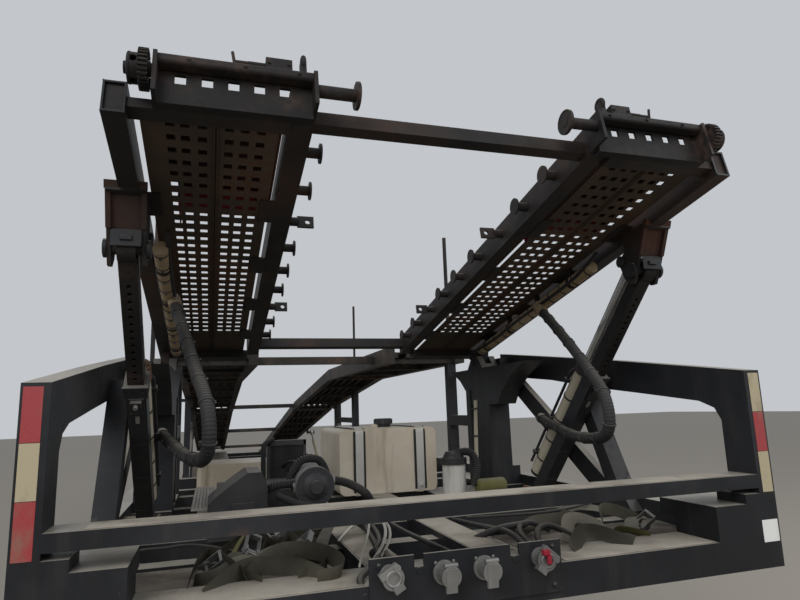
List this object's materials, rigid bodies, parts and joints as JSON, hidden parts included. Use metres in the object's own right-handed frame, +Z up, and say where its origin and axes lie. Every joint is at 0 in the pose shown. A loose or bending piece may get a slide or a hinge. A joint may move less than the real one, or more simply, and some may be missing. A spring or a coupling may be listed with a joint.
{
  "type": "high-mount car transporter semi-trailer",
  "caption": "Car transporter semi-trailer with a tilting front deck over the neck, ramped upper and lower decks, twin-wheel tandem axles and landing legs.",
  "frame": {"origin": "on the ground under the middle of the whole trailer's box", "axes": "+Y from the nose to the tail, +Z up, +X to the right of someone who looks at the nose"},
  "size_m": [2.59, 16.3855, 3.38],
  "materials": {
    "frame_paint": "worn",
    "deck_paint": "worn",
    "rusty_paint": "worn",
    "running_gear": "bare",
    "air_spring": "worn",
    "tank_paint": "worn",
    "engine_iron": "bare",
    "dark_plastic": "worn",
    "bright_steel": "bare",
    "coupling_metal": "bare",
    "cream_sheath": "worn",
    "rim_steel": "worn",
    "tyre_rubber": "worn",
    "black_rubber": "worn"
  },
  "bodies": {
    "frame": {"neck_frame": "frame_paint", "coupler_plate": "frame_paint", "service_plate": "frame_paint", "service_couplings": "coupling_metal", "nose_guard": "frame_paint", "pivot_posts": "frame_paint", "arm_shoes": "rusty_paint", "middle_deck_rails": "deck_paint", "middle_deck_floor": "deck_paint", "guide_rods": "bright_steel", "mid_posts": "frame_paint", "belly_frame": "frame_paint", "lower_tracks": "deck_paint", "rear_frame": "frame_paint", "axle_1": "running_gear", "axle_2": "running_gear", "suspension": "air_spring", "ram_feet": "rusty_paint", "landing_legs": "frame_paint", "strapped_tank": "tank_paint", "low_tank": "tank_paint", "engine_block": "engine_iron", "engine_cover": "dark_plastic", "radiator": "dark_plastic", "air_cleaner": "dark_plastic", "oil_filter": "tank_paint", "stowed_ramps": "bright_steel", "mud_flaps": "black_rubber", "hose_left": "black_rubber", "hose_right": "black_rubber"},
    "front_deck": {"front_deck_rails": "deck_paint", "front_deck_floor": "deck_paint", "front_winches": "rusty_paint", "deck_bundles": "cream_sheath"},
    "rear_deck": {"rear_deck_rails": "deck_paint", "rear_deck_floor": "deck_paint"},
    "lift_tube_left": {"lift_tube_left": "frame_paint"},
    "lift_slider_left": {"lift_slider_left": "frame_paint"},
    "rear_barrel_left": {"rear_barrel_left": "cream_sheath"},
    "rear_rod_left": {"rear_rod_left": "bright_steel"},
    "lift_tube_right": {"lift_tube_right": "frame_paint"},
    "lift_slider_right": {"lift_slider_right": "frame_paint"},
    "rear_barrel_right": {"rear_barrel_right": "cream_sheath"},
    "rear_rod_right": {"rear_rod_right": "bright_steel"},
    "wheels_1_left": {"rims_1_left": "rim_steel", "tyres_1_left": "tyre_rubber"},
    "wheels_1_right": {"rims_1_right": "rim_steel", "tyres_1_right": "tyre_rubber"},
    "wheels_2_left": {"rims_2_left": "rim_steel", "tyres_2_left": "tyre_rubber"},
    "wheels_2_right": {"rims_2_right": "rim_steel", "tyres_2_right": "tyre_rubber"}
  },
  "joints": [
    {"name": "front_deck_tilt", "type": "hinge", "parent": "frame", "child": "front_deck", "pos_m": [0, -5.85725, 2.13], "axis": [-1, 0, 0], "range_deg": [-12, 8], "deforming": ["hose_left", "hose_right"]},
    {"name": "rear_deck_tilt", "type": "hinge", "parent": "frame", "child": "rear_deck", "pos_m": [0, 0.24275, 1.9], "axis": [1, 0, 0], "range_deg": [0, 10]},
    {"name": "lift_tube_left_swing", "type": "hinge", "parent": "frame", "child": "lift_tube_left", "pos_m": [-1.09, -6.48225, 1.262], "axis": [-1, 0, 0], "range_deg": [-10.92, 7.29]},
    {"name": "lift_slider_left_run", "type": "slide", "parent": "lift_tube_left", "child": "lift_slider_left", "axis": [0, -0.7012, 0.713], "range_m": [-0.2214, 0.1478]},
    {"name": "rear_barrel_left_swing", "type": "hinge", "parent": "frame", "child": "rear_barrel_left", "pos_m": [-1.228, 1.94275, 0.72], "axis": [1, 0, 0], "range_deg": [0, 14.7]},
    {"name": "rear_rod_left_run", "type": "slide", "parent": "rear_barrel_left", "child": "rear_rod_left", "axis": [0, 0.868, 0.4965], "range_m": [0, 0.337]},
    {"name": "lift_tube_right_swing", "type": "hinge", "parent": "frame", "child": "lift_tube_right", "pos_m": [1.09, -6.48225, 1.262], "axis": [-1, 0, 0], "range_deg": [-10.92, 7.29]},
    {"name": "lift_slider_right_run", "type": "slide", "parent": "lift_tube_right", "child": "lift_slider_right", "axis": [0, -0.7012, 0.713], "range_m": [-0.2214, 0.1478]},
    {"name": "rear_barrel_right_swing", "type": "hinge", "parent": "frame", "child": "rear_barrel_right", "pos_m": [1.228, 1.94275, 0.72], "axis": [1, 0, 0], "range_deg": [0, 14.7]},
    {"name": "rear_rod_right_run", "type": "slide", "parent": "rear_barrel_right", "child": "rear_rod_right", "axis": [0, 0.868, 0.4965], "range_m": [0, 0.337]},
    {"name": "wheels_1_left_spin", "type": "hinge", "parent": "frame", "child": "wheels_1_left", "pos_m": [-1.0425, 4.39275, 0.398], "axis": [1, 0, 0], "continuous": true},
    {"name": "wheels_1_right_spin", "type": "hinge", "parent": "frame", "child": "wheels_1_right", "pos_m": [1.0425, 4.39275, 0.398], "axis": [1, 0, 0], "continuous": true},
    {"name": "wheels_2_left_spin", "type": "hinge", "parent": "frame", "child": "wheels_2_left", "pos_m": [-1.0425, 5.64275, 0.398], "axis": [1, 0, 0], "continuous": true},
    {"name": "wheels_2_right_spin", "type": "hinge", "parent": "frame", "child": "wheels_2_right", "pos_m": [1.0425, 5.64275, 0.398], "axis": [1, 0, 0], "continuous": true}
  ],
  "couplings": [
    {"joint": "lift_tube_left_swing", "follows": "front_deck_tilt", "ratio": 0.907},
    {"joint": "lift_slider_left_run", "follows": "front_deck_tilt", "m_per_rad": 1.054},
    {"joint": "rear_barrel_left_swing", "follows": "rear_deck_tilt", "ratio": 1.4651},
    {"joint": "rear_rod_left_run", "follows": "rear_deck_tilt", "m_per_rad": 1.928},
    {"joint": "lift_tube_right_swing", "follows": "front_deck_tilt", "ratio": 0.907},
    {"joint": "lift_slider_right_run", "follows": "front_deck_tilt", "m_per_rad": 1.054},
    {"joint": "rear_barrel_right_swing", "follows": "rear_deck_tilt", "ratio": 1.4651},
    {"joint": "rear_rod_right_run", "follows": "rear_deck_tilt", "m_per_rad": 1.928}
  ]
}
